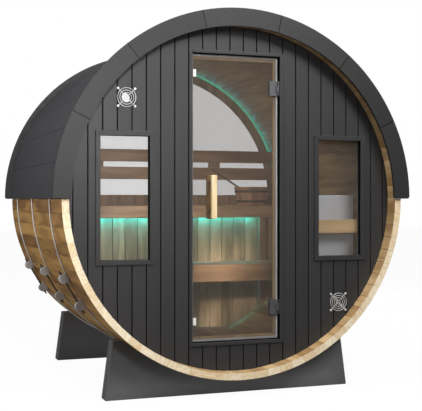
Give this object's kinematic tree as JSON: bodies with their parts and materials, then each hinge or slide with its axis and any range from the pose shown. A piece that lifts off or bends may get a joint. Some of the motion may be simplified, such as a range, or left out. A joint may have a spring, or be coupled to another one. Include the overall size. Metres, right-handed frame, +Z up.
{
  "type": "barrel sauna",
  "caption": "Round barrel sauna of timber staves on two cradles, with a half roof, a glass door that swings, side windows, benches, a heater and a half round back window.",
  "frame": {"origin": "on the ground, under the middle of the bounding box", "axes": "+Z up, the glass door faces -Y, +X to the right of someone who faces the door, the barrel axis runs along Y"},
  "size_m": [2.3078, 2.056, 2.3638],
  "materials": {
    "dark_paint": "matt dark grey paint on planed softwood",
    "stave_wood": "oiled softwood, long grain along the staves",
    "zinc_steel": "bright zinc plated rod",
    "dark_steel": "dark satin steel",
    "roof_felt": "mineral roofing felt, matt",
    "seal_rubber": "pale translucent seal",
    "bronze_glass": "bronze tinted toughened glass",
    "handle_wood": "planed pale wood, clear oil",
    "white_plastic": "white catch",
    "clear_glass": "clear toughened glass",
    "chrome_wire": "bright wire",
    "cabin_wood": "planed softwood, unpainted",
    "bench_wood": "planed heat treated wood",
    "light_green": "lit light strip under a clear cover",
    "heater_steel": "brushed stainless sheet",
    "heater_stone": "rough split stones",
    "ladle_wood": "dark turned wood"
  },
  "bodies": {
    "cabin": {"front_cradle": "dark_paint", "back_cradle": "dark_paint", "upper_staves": "stave_wood", "lower_staves": "stave_wood", "hoops": "zinc_steel", "hoop_lugs": "zinc_steel", "tension_rods": "dark_steel", "roof_sheets": "roof_felt", "front_roof_trim": "dark_paint", "back_roof_trim": "dark_paint", "front_wall_left": "dark_paint", "front_wall_right": "dark_paint", "front_wall_over_door": "dark_paint", "front_wall_under_door": "dark_paint", "door_frame": "dark_paint", "door_seal": "seal_rubber", "door_hinge_leaves": "dark_steel", "left_window_frame": "dark_paint", "left_window_pane": "clear_glass", "right_window_frame": "dark_paint", "right_window_pane": "clear_glass", "upper_vent_guard": "chrome_wire", "lower_vent_guard": "chrome_wire", "back_wall_boards": "cabin_wood", "back_window_frame": "cabin_wood", "back_window_glass": "clear_glass", "floor_boards": "cabin_wood", "floor_joists": "cabin_wood", "upper_bench": "bench_wood", "lower_bench": "bench_wood", "bench_posts": "bench_wood", "bench_bearers": "bench_wood", "bench_front_panel": "bench_wood", "backrest_boards": "bench_wood", "backrest_cleats": "bench_wood", "light_strips": "light_green", "heater_housing": "heater_steel", "heater_stones": "heater_stone", "heater_stand": "cabin_wood", "heater_guard_rail": "bench_wood", "bucket": "bench_wood", "ladle": "ladle_wood"},
    "door": {"door_glass": "bronze_glass", "door_hinge_clamps": "dark_steel", "door_handle_outside": "handle_wood", "door_handle_inside": "handle_wood", "door_catches": "white_plastic"}
  },
  "joints": [
    {"name": "door_hinge", "type": "hinge", "parent": "cabin", "child": "door", "pos_m": [0.278, -0.92, 1.21], "axis": [0, 0, 1], "range_deg": [0, 110]}
  ]
}
